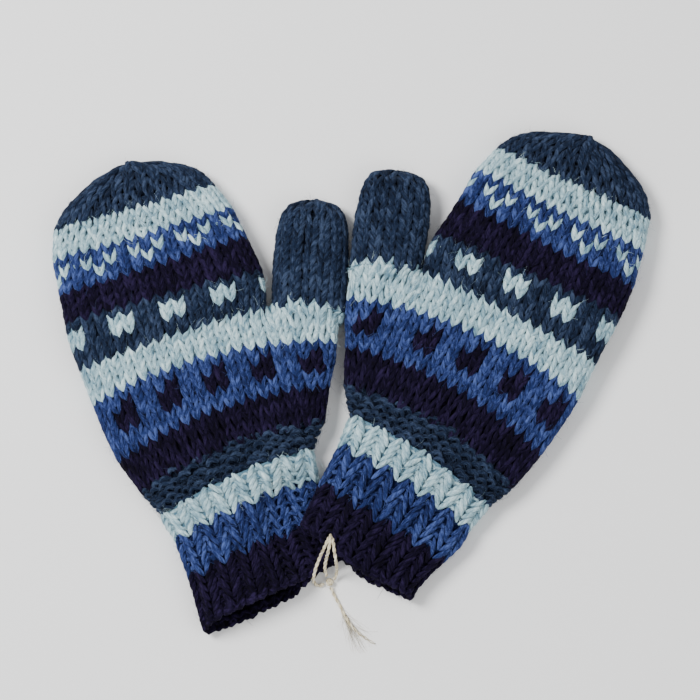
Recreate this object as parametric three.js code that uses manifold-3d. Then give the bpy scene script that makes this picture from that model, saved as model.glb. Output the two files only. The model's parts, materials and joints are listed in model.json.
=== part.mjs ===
// A pair of hand-knitted convertible mittens, lying palm down and tied together at the cuffs.
// Millimetres. +Z is up from the table, +Y towards the fingertips, origin under the middle of the pair.
// Each mitten is a half-finger glove with a flip top: the flap is hinged across the back of the hand,
// and its palm side overlaps the palm, so that it opens like a lid over the four finger stalls.

import * as THREE from 'three';
import { mergeVertices } from 'three/addons/utils/BufferGeometryUtils.js';
import Module from 'manifold-3d';

const wasm = await Module();
wasm.setup();

// ---- driving dimensions -------------------------------------------------------------------------

const WALL = 3;             // thickness of the knitted fabric
const STALL_WALL = 2.5;     // the finger stalls are knitted a little finer
const GAP = 0.3;            // between pieces that touch
const LAP_GAP = 0.4;        // between the flap's palm side and the hand inside it
const SIDES = 28;           // corners round a cross-section
const STALL_SIDES = 20;
const CORD_SIDES = 8;
const HOLE_SIDES = 12;
const SQUARENESS = 2.7;     // exponent of the flattened oval section
const SOLE = 0.5;           // how much of the rounded underside is pressed flat on the table
const BIG = 400;            // side of the boxes that cut
const OVERRUN = 5;          // how far a cutting shape runs past the face it opens

const RIB_TOP = 69;         // where the ribbed cuff meets the hand
const CUFF_STEPS = 8;
const PALM_ROOM_TOP = 146;  // where the room for the palm gives way to the room for the knuckles
const KNUCKLE_ROOM_TOP = 157;
const HINGE_Y = 180;        // the flap's fold line across the back
const HINGE_Z = 25.3;       // just above the back's top surface there
const PALM_RIM_Y = 162;     // where the flap's rim crosses the palm
const HAND_TOP_Y = 168;     // the knuckle line, where the finger stalls start
const STALL_TOP_Y = 185;    // the stalls' rims on the palm side
const STALL_SLANT = 0.6;    // and how much further they reach on the back, per mm of height
const STALL_Z = 12;         // middle height of the stalls

// Cross-sections of the mitten in its own frame: +x is the thumb side, y runs from the cuff's edge
// to the tip. A row goes from its point on the little-finger edge to its point on the thumb edge,
// height is the flattened tube's thickness, and crown bows the row towards the tip in its middle.
const BODY = [
  { v: 0, outer: [-34.5, -8.5], thumb: [48, 8], height: 19, crown: -1.5 },
  { v: 27, outer: [-35.5, 20], thumb: [47.5, 33], height: 18.5, crown: 1.5 },
  { v: 50, outer: [-37.5, 43], thumb: [47, 56], height: 18, crown: 2.5 },
  { v: 69, outer: [-42, 57], thumb: [48, 72], height: 19, crown: 4 },
  { v: 86, outer: [-50, 73], thumb: [58, 86], height: 21, crown: 7 },
  { v: 108, outer: [-57.5, 95], thumb: [66, 106], height: 22, crown: 8 },
  { v: 124, outer: [-61.5, 115], thumb: [72, 118], height: 22, crown: 9 },
  { v: 138, outer: [-63.5, 131], thumb: [76.5, 130], height: 22.5, crown: 9 },
  { v: 150, outer: [-64.5, 145], thumb: [80, 143], height: 23, crown: 8 },
];

// The four-finger half above the thumb's gusset, and the flap that continues it to the tip.
const FINGERS = [
  { v: 138, outer: [-63.5, 131], thumb: [40, 137], height: 22.5, crown: 3 },
  { v: 156, outer: [-65, 152], thumb: [44, 160], height: 24, crown: 0 },
  { v: 166, outer: [-66.5, 165], thumb: [46, 170], height: 25, crown: 0 },
  { v: 180, outer: [-67, 180], thumb: [46.5, 181], height: 25, crown: 0 },
  { v: 199, outer: [-66.5, 198], thumb: [42.5, 204], height: 24, crown: -2 },
  { v: 219, outer: [-64.5, 219], thumb: [39.5, 223], height: 22, crown: -2 },
  { v: 236, outer: [-60, 237], thumb: [34, 239], height: 19.5, crown: -2 },
  { v: 248, outer: [-52, 248], thumb: [29, 249], height: 17, crown: 0 },
  { v: 257, outer: [-38.5, 257], thumb: [19.5, 257], height: 14, crown: 1 },
  { v: 263, outer: [-25.5, 263], thumb: [3, 263], height: 10, crown: 1 },
];
const TIP = { v: 266, at: [-11, 266], z: 4.5 };

// The thumb, along its own axis from the middle of its base, at thumbX across the mitten.
const THUMB_BASE_Y = 158;
const THUMB_CUT = [[44, 162], [83, 142]];    // the line across the gusset where it is picked up
const THUMB = [
  { t: -30, half: 19, height: 20 },
  { t: 0, half: 20, height: 20 },
  { t: 22, half: 20.5, height: 20 },
  { t: 38, half: 19.8, height: 19 },
  { t: 48, half: 18, height: 17.5 },
  { t: 54.5, half: 14, height: 13.5 },
  { t: 57.2, half: 9, height: 10 },
];
const THUMB_TIP = 59;
const THUMB_TIP_Z = 5.5;

// Finger stalls from the little finger to the index: width and thickness outside.
const STALLS = [
  { name: 'little', width: 20, height: 12 },
  { name: 'ring', width: 24, height: 13.6 },
  { name: 'middle', width: 25, height: 13.6 },
  { name: 'index', width: 24, height: 13.6 },
];
const STALLS_START_X = -57.5;
const STALL_SPACE = 0.7;

const SEAM_RADIUS = 1;      // the row of picked-up stitches that joins the flap, inside the back
const SEAM_HALF = 0.6;      // how far it reaches towards each edge
const SEAM_BACK = 3;        // how far it lies behind the fold
const SEAM_STEPS = 8;
const SEAM_STEP = 5;        // millimetres

// How the two mittens lie. The length factor stretches one mitten along its fingers, because no two
// hand-knitted mittens match. Where the cuffs cross, one is pressed flat and the other lies on it.
// sag is how much further the cuff's palm layer reaches at the mouth than its back.
const PAIR = [
  {
    name: 'left', mirror: 1, lean: 15, at: [-50.4, -121.4], length: 0.96,
    thumbX: 67.5, thumbLean: 18, thumbLength: 1,
    press: { at: [40, 27], squeeze: 0.55, lift: 0 },
    corner: { at: [-34.5, -8.5], draw: [0, 0] },
    sag: 5.5,
  },
  {
    name: 'right', mirror: -1, lean: 24, at: [12.5, -111.1], length: 1.04,
    thumbX: 65.5, thumbLean: 16, thumbLength: 0.9,
    press: { at: [38.5, 12.5], squeeze: 0.4, lift: 8.4 },
    corner: { at: [-34.5, -8.5], draw: [11, 6] },
    sag: 1.5,
  },
];
const PRESS_FULL = 21;      // radius that is fully pressed
const PRESS_END = 38;       // radius where the pressing has died out
const CORNER_REACH = 48;    // radius over which the cuff's outer corner is drawn in
const MOUTH_DEPTH = 20;     // how far up the cuff its palm layer's sag at the mouth dies out

// The thin string that ties the cuffs. Its three strands go down through the stitches together at
// the tie, run over the upper cuff's edge to a knot on the table, and one end trails off from there.
// Here the coordinates are the whole pair's.
const STRING_RADIUS = 0.75;
const STRING_STEP = 3;      // millimetres
const TIE = [-11.7, -91.2];
const TIE_HOLE_RADIUS = 2.4;
const LOWER_HOLE_RADIUS = 1.8;
const KNOT = { at: [-12.3, -114.4, 2.7], radius: 2.6, flatten: 0.85 };
const KNOT_SIDES = 12;
const KNOT_ROWS = 8;
const STRING = {
  tie_strand_middle: [
    [-11.7, -90.4, 3.5], [-11.7, -90.4, 9], [-11.7, -90.4, 15], [-11.7, -90.6, 19.8],
    [-11.9, -93.2, 21.6], [-12.4, -96.8, 21.5], [-13.2, -100.1, 20.2], [-14.3, -103.6, 14],
    [-14.9, -107.8, 9.6], [-14, -111.2, 5.4],
  ],
  tie_strand_left: [
    [-12.7, -92.1, 16.2], [-12.7, -92.1, 19.6], [-13.6, -94.2, 21.6], [-15.2, -97.4, 20],
    [-16.9, -100.4, 15.4], [-18.3, -103.4, 12.6], [-19.6, -106.8, 11.5], [-20.7, -110.6, 10.2],
    [-21.3, -113.5, 6.5], [-20.2, -115.6, 2.8], [-17.9, -116.4, 1.4], [-15.6, -115.4, 2],
  ],
  tie_strand_right: [
    [-10.7, -92.1, 16.2], [-10.7, -92.1, 19.6], [-10.3, -94.4, 21.6], [-9.8, -98.2, 21.9],
    [-9.3, -101.6, 21.8], [-8.8, -104.8, 20], [-8.4, -107, 11.5], [-8.5, -109.4, 6],
    [-9, -111.6, 3.4], [-10, -112.9, 3.2],
  ],
  tie_tail: [
    [-11.6, -117.4, 2.1], [-10.5, -120.2, 1.3], [-8.5, -123.9, 0.9], [-6.4, -127.8, 0.8],
    [-4.3, -132.2, 0.8], [-1.3, -137.2, 0.8], [3.1, -142, 0.8], [8.3, -145.8, 0.8],
    [12.7, -148.4, 0.8],
  ],
};

const COLOURS = {
  purple: 0x241b3a,
  blue: 0x34548e,
  paleBlue: 0xb4cbcf,
  teal: 0x263a54,
  cream: 0xebe6cd,
};

// ---- geometry helpers -----------------------------------------------------------------------------

const mix = (a, b, k) => a + (b - a) * k;
const mixPoint = (p, q, k) => [mix(p[0], q[0], k), mix(p[1], q[1], k)];
const signedPower = (x, p) => Math.sign(x) * Math.abs(x) ** p;
const smooth = (k) => k * k * (3 - 2 * k);
const clamp = (x) => Math.min(1, Math.max(0, x));

// The section at any v, straight between the two stations beside it.
function rowAt(rows, v) {
  const last = rows.length - 1;
  let i = rows.findIndex((row) => row.v > v) - 1;
  if (i < 0) i = v < rows[0].v ? 0 : last - 1;
  const [a, b] = [rows[i], rows[i + 1]];
  const k = (v - a.v) / (b.v - a.v);
  return {
    v,
    outer: mixPoint(a.outer, b.outer, k),
    thumb: mixPoint(a.thumb, b.thumb, k),
    height: mix(a.height, b.height, k),
    crown: mix(a.crown, b.crown, k),
  };
}

// Every station between two values of v, with both ends.
function rowsBetween(rows, from, to) {
  const inside = rows.filter((row) => row.v > from + 1 && row.v < to - 1);
  return [rowAt(rows, from), ...inside, rowAt(rows, to)];
}

// The pressed-flat oval: how far across (-1 to 1) and how far up (-1 to 1) each corner is.
function ovalCorners(count) {
  const corners = [];
  for (let i = 0; i < count; i += 1) {
    const angle = (2 * Math.PI * i) / count;
    corners.push([
      signedPower(Math.cos(angle), 2 / SQUARENESS),
      signedPower(Math.sin(angle), 2 / SQUARENESS),
    ]);
  }
  return corners;
}

function heightAt(height, up, inset) {
  return Math.max(inset, (height + SOLE) / 2 + up * ((height + SOLE) / 2 - inset) - SOLE);
}

// The corners of one section of the mitten, inset evenly for an inner surface.
function ring(row, length, inset = 0) {
  const half = Math.hypot(row.thumb[0] - row.outer[0], row.thumb[1] - row.outer[1]) / 2;
  return ovalCorners(SIDES).map(([across, up]) => {
    const side = across * (1 - inset / half);
    const [x, y] = mixPoint(row.outer, row.thumb, 0.5 + 0.5 * side);
    const bow = row.crown * (1 - side * side);
    return new THREE.Vector3(x, (y + bow) * length, heightAt(row.height, up, inset));
  });
}

function geometryFrom(points, faces) {
  const geometry = new THREE.BufferGeometry();
  geometry.setAttribute('position', new THREE.Float32BufferAttribute(points.flatMap((p) => p.toArray()), 3));
  geometry.setIndex(faces.flat());
  return geometry;
}

// Faces between two rings of corners that start at the given vertex numbers.
function band(faces, a, b, count) {
  for (let i = 0; i < count; i += 1) {
    const j = (i + 1) % count;
    faces.push([a + i, a + j, b + j], [a + i, b + j, b + i]);
  }
}

// Closes a ring with upright strips, each from a corner on the back to the one below it on the palm.
function endFaces(start, count) {
  const faces = [];
  for (let i = 0; i < count / 2; i += 1) {
    const below = start + ((count - i) % count);
    const nextBelow = start + count - i - 1;
    if (i > 0) faces.push([start + i, nextBelow, below]);
    if (i < count / 2 - 1) faces.push([start + i, start + i + 1, nextBelow]);
  }
  return faces;
}

// A closed solid through rings that follow one another, with an upright or a pointed far end.
function loft(rings, tip = null) {
  const count = rings[0].length;
  const points = rings.flat();
  const faces = endFaces(0, count).map((face) => face.reverse());
  for (let r = 0; r + 1 < rings.length; r += 1) band(faces, r * count, (r + 1) * count, count);
  const last = (rings.length - 1) * count;
  if (tip) {
    points.push(tip);
    for (let i = 0; i < count; i += 1) faces.push([last + count, last + i, last + ((i + 1) % count)]);
  } else {
    faces.push(...endFaces(last, count));
  }
  return geometryFrom(points, faces);
}

// An open-ended sleeve: out along the outer rings and back along the inner ones.
function sleeve(outer, inner) {
  const count = outer[0].length;
  const rings = [...outer, ...[...inner].reverse()];
  const faces = [];
  rings.forEach((_, r) => band(faces, r * count, ((r + 1) % rings.length) * count, count));
  return geometryFrom(rings.flat(), faces);
}

function signedVolume(geometry) {
  const p = geometry.attributes.position;
  const index = geometry.index.array;
  const [a, b, c] = [new THREE.Vector3(), new THREE.Vector3(), new THREE.Vector3()];
  let sum = 0;
  for (let i = 0; i < index.length; i += 3) {
    a.fromBufferAttribute(p, index[i]);
    b.fromBufferAttribute(p, index[i + 1]);
    c.fromBufferAttribute(p, index[i + 2]);
    sum += a.dot(b.cross(c)) / 6;
  }
  return sum;
}

function facingOut(geometry) {
  if (signedVolume(geometry) < 0) geometry.index.array.reverse();
  return geometry;
}

// Corners that meet become one, so that the surface is closed.
function merged(geometry) {
  geometry.deleteAttribute('normal');
  geometry.deleteAttribute('uv');
  return mergeVertices(geometry, 1e-4);
}

function toSolid(geometry) {
  const closed = facingOut(merged(geometry));
  return new wasm.Manifold(new wasm.Mesh({
    numProp: 3,
    vertProperties: closed.attributes.position.array,
    triVerts: Uint32Array.from(closed.index.array),
  }));
}

function toGeometry(solid) {
  const mesh = solid.getMesh();
  const geometry = new THREE.BufferGeometry();
  geometry.setAttribute('position', new THREE.BufferAttribute(Float32Array.from(mesh.vertProperties), 3));
  geometry.setIndex(Array.from(mesh.triVerts));
  return geometry;
}

const join = (...solids) => solids.reduce((a, b) => a.add(b));

// A large box with one face through a point, on the side that the direction points to.
function beyond(point, direction) {
  const normal = new THREE.Vector3(...direction).normalize();
  const box = new THREE.BoxGeometry(BIG, BIG, BIG);
  box.applyQuaternion(new THREE.Quaternion().setFromUnitVectors(new THREE.Vector3(0, 0, 1), normal));
  const centre = new THREE.Vector3(...point).addScaledVector(normal, BIG / 2);
  box.translate(centre.x, centre.y, centre.z);
  return toSolid(box);
}

// A round cord along points.
function cordGeometry(points, radius, step) {
  const section = new THREE.Shape();
  for (let i = 0; i < CORD_SIDES; i += 1) {
    const angle = (2 * Math.PI * i) / CORD_SIDES;
    section[i ? 'lineTo' : 'moveTo'](radius * Math.cos(angle), radius * Math.sin(angle));
  }
  const path = new THREE.CatmullRomCurve3(points.map((p) => new THREE.Vector3(...p)));
  const steps = Math.round(path.getLength() / step);
  return merged(new THREE.ExtrudeGeometry(section, { steps, extrudePath: path, bevelEnabled: false }));
}

// An upright round bar to cut a hole with.
function upright([x, y], radius) {
  const bar = new THREE.CylinderGeometry(radius, radius, BIG, HOLE_SIDES).rotateX(Math.PI / 2);
  return toSolid(bar.translate(x, y, 0));
}

// Presses the cuff flat, or lifts it, round the place where the cuffs cross. Away from there its
// outer corner is drawn in and its palm layer slips a little past the back one.
function pressed(geometry, { press, corner, sag }) {
  const p = geometry.attributes.position;
  for (let i = 0; i < p.count; i += 1) {
    const [x, y, z] = [p.getX(i), p.getY(i), p.getZ(i)];
    const distance = Math.hypot(x - press.at[0], y - press.at[1]);
    const weight = smooth(clamp((PRESS_END - distance) / (PRESS_END - PRESS_FULL)));
    const drawn = smooth(clamp(1 - Math.hypot(x - corner.at[0], y - corner.at[1]) / CORNER_REACH));
    const under = clamp(1 - z / BODY[0].height);
    const slip = sag * under * smooth(clamp(1 - y / MOUTH_DEPTH)) * (1 - weight);
    p.setXYZ(
      i,
      x + corner.draw[0] * drawn,
      y + corner.draw[1] * drawn - slip,
      z * (1 - press.squeeze * weight) + press.lift * weight,
    );
  }
  return geometry;
}

// ---- the pieces of one mitten -----------------------------------------------------------------------

// The tie's place in one mitten's own frame.
function tiePlace({ at, lean, mirror }) {
  const turned = new THREE.Vector2(TIE[0] - at[0], TIE[1] - at[1])
    .rotateAround(new THREE.Vector2(), -mirror * THREE.MathUtils.degToRad(lean));
  return [turned.x * mirror, turned.y];
}

function cuff(side) {
  const { length, press } = side;
  const rows = [];
  for (let i = 0; i <= CUFF_STEPS; i += 1) rows.push(rowAt(BODY, (RIB_TOP * i) / CUFF_STEPS));
  const tube = sleeve(rows.map((r) => ring(r, length)), rows.map((r) => ring(r, length, WALL)));
  const hole = upright(tiePlace(side), press.lift ? TIE_HOLE_RADIUS : LOWER_HOLE_RADIUS);
  return toGeometry(toSolid(pressed(tube, side)).subtract(hole));
}

// The full outline above the gusset, from one place to another.
function fingerPart(from, to, length, inset) {
  return toSolid(loft(rowsBetween(FINGERS, from, to).map((r) => ring(r, length, inset))));
}

function thumbHull({ length, thumbX, thumbLean, thumbLength }, inset) {
  const lean = THREE.MathUtils.degToRad(thumbLean);
  const along = [Math.sin(lean), Math.cos(lean)];
  const across = [Math.cos(lean), -Math.sin(lean)];
  const base = [thumbX, THUMB_BASE_Y * length];
  const place = (t, s, z) => new THREE.Vector3(
    base[0] + along[0] * t + across[0] * s,
    base[1] + along[1] * t + across[1] * s,
    z,
  );
  const rings = THUMB.map(({ t, half, height }) => ovalCorners(SIDES).map(([side, up]) => (
    place(t * (t > 0 ? thumbLength : 1), side * (half - inset), heightAt(height, up, inset))
  )));
  const tip = place(THUMB_TIP * thumbLength - inset, 0, THUMB_TIP_Z);
  return toSolid(loft(rings, tip));
}

// Everything on the far side of the line where the thumb is picked up.
function thumbSide(length, offset) {
  const [[ax, ay], [bx, by]] = THUMB_CUT;
  const normal = new THREE.Vector3((ay - by) * length, bx - ax, 0).normalize();
  return beyond([ax + normal.x * offset, ay * length + normal.y * offset, 0], [normal.x, normal.y, 0]);
}

// Everything in front of the slanting mouth of the flap, which passes through the fold line.
function flapSide(length, offset) {
  const run = HINGE_Y * length - PALM_RIM_Y * length;
  const normal = new THREE.Vector3(0, HINGE_Z, -run).normalize();
  return beyond([0, HINGE_Y * length + normal.y * offset, HINGE_Z + normal.z * offset], normal.toArray());
}

function hand(side) {
  const { length } = side;
  const start = RIB_TOP + GAP;
  const palmEnd = BODY.at(-1).v;
  const fingersStart = FINGERS[0].v;
  const lower = toSolid(loft(rowsBetween(BODY, start, palmEnd).map((r) => ring(r, length))));
  const upper = fingerPart(fingersStart, HINGE_Y + OVERRUN, length, 0).subtract(flapSide(length, -GAP / 2));
  const top = beyond([0, HAND_TOP_Y * length, 0], [0, 1, 0]);
  const insideFlap = fingerPart(palmEnd, HINGE_Y, length, WALL + LAP_GAP).subtract(top);
  const gusset = thumbHull(side, 0).subtract(thumbSide(length, -GAP / 2));
  const thumbPlace = thumbHull(side, -GAP).intersect(thumbSide(length, -GAP / 2));

  const palmRows = rowsBetween(BODY, start - OVERRUN, PALM_ROOM_TOP);
  const palmRoom = toSolid(loft(palmRows.map((r) => ring(r, length, WALL))));
  const knuckleRoom = fingerPart(fingersStart, KNUCKLE_ROOM_TOP, length, WALL);
  const throughLap = fingerPart(palmEnd, HINGE_Y, length, 2 * WALL + LAP_GAP);
  const stallRoom = fingerPart(HAND_TOP_Y - OVERRUN, HINGE_Y + OVERRUN, length, WALL).intersect(top);
  const thumbRoom = thumbHull(side, WALL);
  return toGeometry(join(lower, upper, insideFlap, gusset)
    .subtract(join(palmRoom, knuckleRoom, throughLap, stallRoom, thumbRoom, thumbPlace)));
}

function thumb(side) {
  return toGeometry(thumbHull(side, 0).subtract(thumbHull(side, WALL))
    .intersect(thumbSide(side.length, GAP / 2)));
}

function flap({ length }) {
  const hull = (inset) => {
    const rows = rowsBetween(FINGERS, PALM_RIM_Y - OVERRUN, FINGERS.at(-1).v);
    const tip = new THREE.Vector3(TIP.at[0], (TIP.at[1] - inset) * length, TIP.z);
    const kept = inset ? rows.slice(0, -1) : rows;
    return toSolid(loft(kept.map((r) => ring(r, length, inset)), tip));
  };
  return toGeometry(hull(0).subtract(hull(WALL)).intersect(flapSide(length, GAP / 2)));
}

// One half-finger tube, open at both ends, its rim slanting forward on the back.
function stall({ width, height }, centre, length) {
  const lowest = STALL_Z - Math.max(...STALLS.map((other) => other.height)) / 2;
  const rim = (inset, y, slant) => ovalCorners(STALL_SIDES).map(([side, up]) => {
    const z = STALL_Z + up * (height / 2 - inset);
    return new THREE.Vector3(centre + side * (width / 2 - inset), y * length + slant * (z - lowest), z);
  });
  const bottom = HAND_TOP_Y + GAP;
  const outer = [rim(0, bottom, 0), rim(0, STALL_TOP_Y, STALL_SLANT)];
  const inner = [rim(STALL_WALL, bottom, 0), rim(STALL_WALL, STALL_TOP_Y, STALL_SLANT)];
  return sleeve(outer, inner);
}

// The joining stitches, a bead along the inside of the back just below the fold.
function seam({ length }) {
  const row = rowAt(FINGERS, HINGE_Y - SEAM_BACK);
  const inset = WALL + GAP + SEAM_RADIUS;
  const points = [];
  for (let i = 0; i <= SEAM_STEPS; i += 1) {
    const across = SEAM_HALF * ((2 * i) / SEAM_STEPS - 1);
    const up = (1 - Math.abs(across) ** SQUARENESS) ** (1 / SQUARENESS);
    const half = (row.thumb[0] - row.outer[0]) / 2;
    const k = 0.5 + 0.5 * across * (1 - inset / half);
    const [x, y] = mixPoint(row.outer, row.thumb, k);
    points.push([x, y * length, heightAt(row.height, up, inset) - GAP]);
  }
  return cordGeometry(points, SEAM_RADIUS, SEAM_STEP);
}

// ---- assembly -----------------------------------------------------------------------------------------

function piece(name, geometry, colour) {
  const material = new THREE.MeshStandardMaterial({ color: colour, roughness: 0.95, metalness: 0 });
  facingOut(geometry).computeVertexNormals();
  const mesh = new THREE.Mesh(geometry, material);
  mesh.name = name;
  return mesh;
}

function mitten(side) {
  const placed = new THREE.Group();
  placed.position.set(side.at[0], side.at[1], 0);
  placed.rotation.z = side.mirror * THREE.MathUtils.degToRad(side.lean);
  placed.scale.x = side.mirror;
  placed.add(piece(`${side.name}_cuff`, cuff(side), COLOURS.purple));
  placed.add(piece(`${side.name}_hand`, hand(side), COLOURS.blue));
  placed.add(piece(`${side.name}_thumb`, thumb(side), COLOURS.teal));
  placed.add(piece(`${side.name}_flap`, flap(side), COLOURS.paleBlue));
  placed.add(piece(`${side.name}_flap_seam`, seam(side), COLOURS.teal));
  let x = STALLS_START_X;
  for (const finger of STALLS) {
    const geometry = stall(finger, x + finger.width / 2, side.length);
    placed.add(piece(`${side.name}_stall_${finger.name}`, geometry, COLOURS.blue));
    x += finger.width + STALL_SPACE;
  }
  return placed;
}

function knot() {
  const ball = merged(new THREE.SphereGeometry(KNOT.radius, KNOT_SIDES, KNOT_ROWS).rotateX(Math.PI / 2));
  return ball.scale(1, 1, KNOT.flatten).translate(...KNOT.at);
}

const group = new THREE.Group();
PAIR.forEach((side) => group.add(mitten(side)));
for (const [name, route] of Object.entries(STRING)) {
  group.add(piece(name, cordGeometry(route, STRING_RADIUS, STRING_STEP), COLOURS.cream));
}
group.add(piece('tie_knot', knot(), COLOURS.cream));

export default group;
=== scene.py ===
"""A pair of hand-knitted convertible mittens, every stitch laid as two legs of yarn on the CAD's surface.

Shapes are worked out in millimetres in each mitten's own frame (+x thumb side, +y to the tip) and
placed in the pair's frame at the end, in metres.
"""
import json
import math

import bpy
import numpy as np
from mathutils import Vector
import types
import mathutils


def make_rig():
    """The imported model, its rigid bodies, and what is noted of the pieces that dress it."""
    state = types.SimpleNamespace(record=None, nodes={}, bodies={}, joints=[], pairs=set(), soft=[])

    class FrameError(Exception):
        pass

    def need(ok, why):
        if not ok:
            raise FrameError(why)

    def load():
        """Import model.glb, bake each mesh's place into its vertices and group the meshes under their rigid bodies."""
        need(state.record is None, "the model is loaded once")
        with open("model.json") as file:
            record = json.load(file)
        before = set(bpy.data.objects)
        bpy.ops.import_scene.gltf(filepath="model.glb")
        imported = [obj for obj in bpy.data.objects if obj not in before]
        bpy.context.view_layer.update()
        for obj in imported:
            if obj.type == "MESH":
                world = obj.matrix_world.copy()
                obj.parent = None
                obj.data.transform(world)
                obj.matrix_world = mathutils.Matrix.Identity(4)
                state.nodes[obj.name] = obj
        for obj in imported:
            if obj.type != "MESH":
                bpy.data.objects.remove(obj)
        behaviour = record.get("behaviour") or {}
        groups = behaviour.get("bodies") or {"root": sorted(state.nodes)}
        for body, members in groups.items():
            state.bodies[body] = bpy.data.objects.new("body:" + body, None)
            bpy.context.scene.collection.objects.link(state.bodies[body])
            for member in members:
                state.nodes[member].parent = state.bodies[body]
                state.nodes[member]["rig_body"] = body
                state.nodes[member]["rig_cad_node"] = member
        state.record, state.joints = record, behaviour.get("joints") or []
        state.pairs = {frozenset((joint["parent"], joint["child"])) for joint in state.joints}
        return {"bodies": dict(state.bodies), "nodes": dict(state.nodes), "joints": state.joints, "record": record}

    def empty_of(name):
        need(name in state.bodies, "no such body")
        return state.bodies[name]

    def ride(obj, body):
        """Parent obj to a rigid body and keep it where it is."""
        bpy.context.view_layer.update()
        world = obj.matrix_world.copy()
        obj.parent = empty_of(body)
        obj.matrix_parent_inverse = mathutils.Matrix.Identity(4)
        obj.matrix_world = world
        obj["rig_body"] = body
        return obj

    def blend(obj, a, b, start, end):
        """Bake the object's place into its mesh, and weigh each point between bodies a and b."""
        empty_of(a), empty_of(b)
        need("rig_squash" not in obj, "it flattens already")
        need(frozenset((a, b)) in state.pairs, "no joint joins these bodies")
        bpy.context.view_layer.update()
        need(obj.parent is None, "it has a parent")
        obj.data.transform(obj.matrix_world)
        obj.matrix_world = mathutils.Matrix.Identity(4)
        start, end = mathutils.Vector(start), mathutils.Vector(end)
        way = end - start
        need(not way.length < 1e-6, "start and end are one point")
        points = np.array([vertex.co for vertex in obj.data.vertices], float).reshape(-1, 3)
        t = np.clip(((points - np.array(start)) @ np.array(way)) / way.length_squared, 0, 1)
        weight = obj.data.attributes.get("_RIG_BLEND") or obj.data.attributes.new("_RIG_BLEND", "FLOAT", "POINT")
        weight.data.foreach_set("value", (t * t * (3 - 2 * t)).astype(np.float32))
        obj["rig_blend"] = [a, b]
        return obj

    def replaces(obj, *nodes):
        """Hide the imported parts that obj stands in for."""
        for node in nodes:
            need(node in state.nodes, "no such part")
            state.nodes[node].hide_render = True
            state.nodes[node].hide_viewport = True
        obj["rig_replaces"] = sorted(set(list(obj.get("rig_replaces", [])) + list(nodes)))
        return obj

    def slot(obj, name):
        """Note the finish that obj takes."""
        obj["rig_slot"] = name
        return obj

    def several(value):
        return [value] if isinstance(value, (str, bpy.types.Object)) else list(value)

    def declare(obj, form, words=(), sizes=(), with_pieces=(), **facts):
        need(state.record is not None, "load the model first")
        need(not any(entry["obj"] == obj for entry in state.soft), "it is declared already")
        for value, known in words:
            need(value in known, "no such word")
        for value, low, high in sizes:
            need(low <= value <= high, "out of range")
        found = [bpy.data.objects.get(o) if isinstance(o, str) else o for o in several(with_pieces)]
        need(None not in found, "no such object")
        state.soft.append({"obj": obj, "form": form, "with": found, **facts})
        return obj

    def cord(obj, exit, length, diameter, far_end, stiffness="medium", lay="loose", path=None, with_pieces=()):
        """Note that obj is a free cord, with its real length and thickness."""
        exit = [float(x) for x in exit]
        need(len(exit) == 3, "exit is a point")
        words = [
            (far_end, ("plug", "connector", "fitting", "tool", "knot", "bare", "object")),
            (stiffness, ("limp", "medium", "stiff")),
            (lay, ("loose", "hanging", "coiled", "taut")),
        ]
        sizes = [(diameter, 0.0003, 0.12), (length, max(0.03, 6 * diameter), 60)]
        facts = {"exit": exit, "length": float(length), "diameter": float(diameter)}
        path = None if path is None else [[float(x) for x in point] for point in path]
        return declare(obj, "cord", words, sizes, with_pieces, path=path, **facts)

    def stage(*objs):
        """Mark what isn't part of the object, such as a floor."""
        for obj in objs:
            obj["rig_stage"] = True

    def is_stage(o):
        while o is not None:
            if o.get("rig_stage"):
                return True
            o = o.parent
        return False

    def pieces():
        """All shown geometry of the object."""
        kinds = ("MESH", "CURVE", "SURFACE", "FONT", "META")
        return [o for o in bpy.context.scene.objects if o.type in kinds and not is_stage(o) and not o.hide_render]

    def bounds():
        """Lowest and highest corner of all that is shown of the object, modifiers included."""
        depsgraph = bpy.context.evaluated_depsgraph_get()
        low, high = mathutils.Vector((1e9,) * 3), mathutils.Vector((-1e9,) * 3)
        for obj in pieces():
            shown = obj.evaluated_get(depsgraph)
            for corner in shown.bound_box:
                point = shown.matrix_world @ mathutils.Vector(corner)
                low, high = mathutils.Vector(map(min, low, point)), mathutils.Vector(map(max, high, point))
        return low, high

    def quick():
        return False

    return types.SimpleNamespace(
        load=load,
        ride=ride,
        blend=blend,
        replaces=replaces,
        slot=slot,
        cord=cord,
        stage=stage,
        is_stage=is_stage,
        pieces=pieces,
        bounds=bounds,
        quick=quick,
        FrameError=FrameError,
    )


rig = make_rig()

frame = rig.load()
cad_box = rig.bounds()

# ---- dimensions (mm), the CAD's and a few of the wool's own ----------------------------------------

WALL = 3.0
STALL_WALL = 2.5
GAP = 0.3
LAP = WALL + 0.4
SQUARENESS = 2.7
SOLE = 0.5
RIB_TOP = 69.0
HINGE_Y = 180.0
HINGE_Z = 25.3
PALM_RIM_Y = 162.0
HAND_TOP_Y = 168.0
STALL_TOP_Y = 185.0
STALL_SLANT = 0.6
STALL_Z = 12.0
TIP_Y = 266.0
SEAM_RADIUS = 1.0
SEAM_HALF = 0.6
SEAM_BACK = 3.0
SEAM_OFFSET = 0.55
SEAM_PITCH = 5.2
SEAM_YARN = 0.55

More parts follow.
